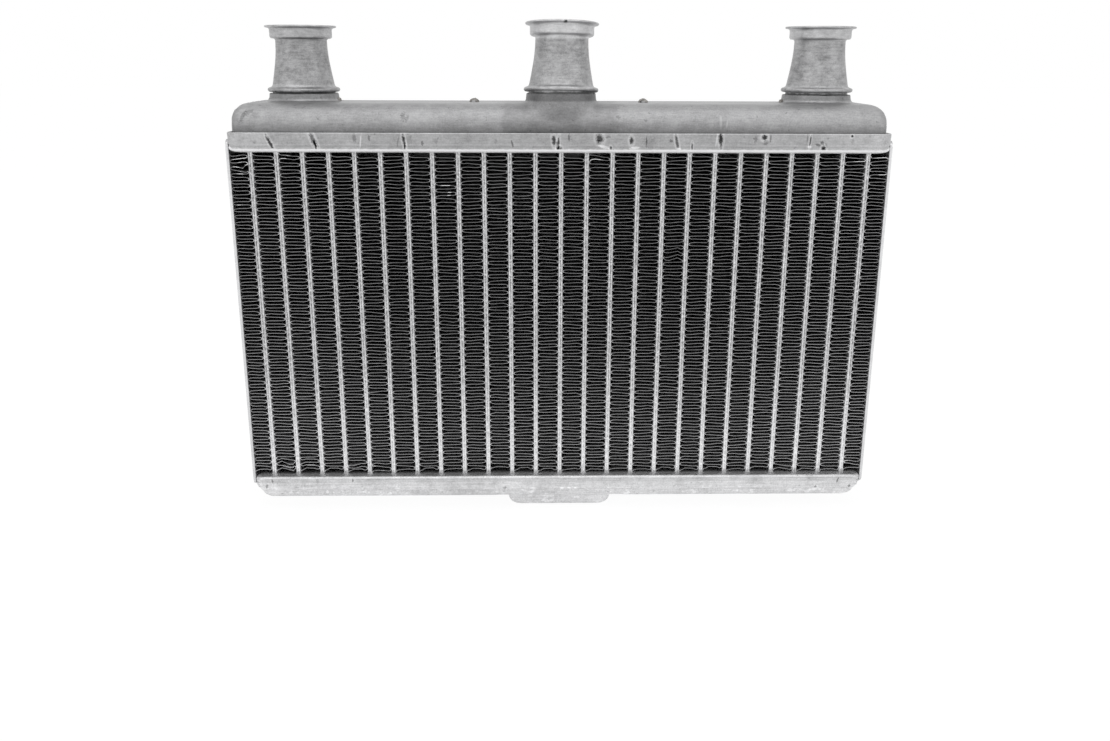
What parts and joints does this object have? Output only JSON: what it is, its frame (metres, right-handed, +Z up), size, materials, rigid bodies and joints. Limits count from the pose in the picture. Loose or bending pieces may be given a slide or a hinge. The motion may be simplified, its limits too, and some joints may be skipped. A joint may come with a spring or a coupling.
{
  "type": "heater core",
  "caption": "Brazed aluminium heater core: flat tubes and folded fins between two headers, a top tank with three flanged necks and a shallow bottom tank with a foot.",
  "frame": {"origin": "middle of the core's width and depth, on the flat underside of the foot", "axes": "+X to the right across the core, +Y from the front face to the back, +Z up towards the necks"},
  "size_m": [0.2582, 0.0492, 0.1979],
  "materials": {
    "tank": "matt, brazed, faintly mottled",
    "header": "matt, brazed, with small nicks and dark braze marks",
    "tube": "satin, brazed",
    "fin": "dull thin foil",
    "neck": "matt, faintly mottled",
    "side_plate": "satin, brazed"
  },
  "bodies": {
    "root": {"top_tank": "tank", "top_header": "header", "bottom_header": "header", "bottom_tank": "tank", "side_plates": "side_plate", "baffles": "tank", "tube_01": "tube", "tube_02": "tube", "tube_03": "tube", "tube_04": "tube", "tube_05": "tube", "tube_06": "tube", "tube_07": "tube", "tube_08": "tube", "tube_09": "tube", "tube_10": "tube", "tube_11": "tube", "tube_12": "tube", "tube_13": "tube", "tube_14": "tube", "tube_15": "tube", "tube_16": "tube", "tube_17": "tube", "tube_18": "tube", "tube_19": "tube", "tube_20": "tube", "tube_21": "tube", "tube_22": "tube", "tube_23": "tube", "tube_24": "tube", "tube_25": "tube", "fin_01": "fin", "fin_02": "fin", "fin_03": "fin", "fin_04": "fin", "fin_05": "fin", "fin_06": "fin", "fin_07": "fin", "fin_08": "fin", "fin_09": "fin", "fin_10": "fin", "fin_11": "fin", "fin_12": "fin", "fin_13": "fin", "fin_14": "fin", "fin_15": "fin", "fin_16": "fin", "fin_17": "fin", "fin_18": "fin", "fin_19": "fin", "fin_20": "fin", "fin_21": "fin", "fin_22": "fin", "fin_23": "fin", "fin_24": "fin", "fin_25": "fin", "fin_26": "fin", "neck_left": "neck", "neck_centre": "neck", "neck_right": "neck"}
  },
  "joints": []
}
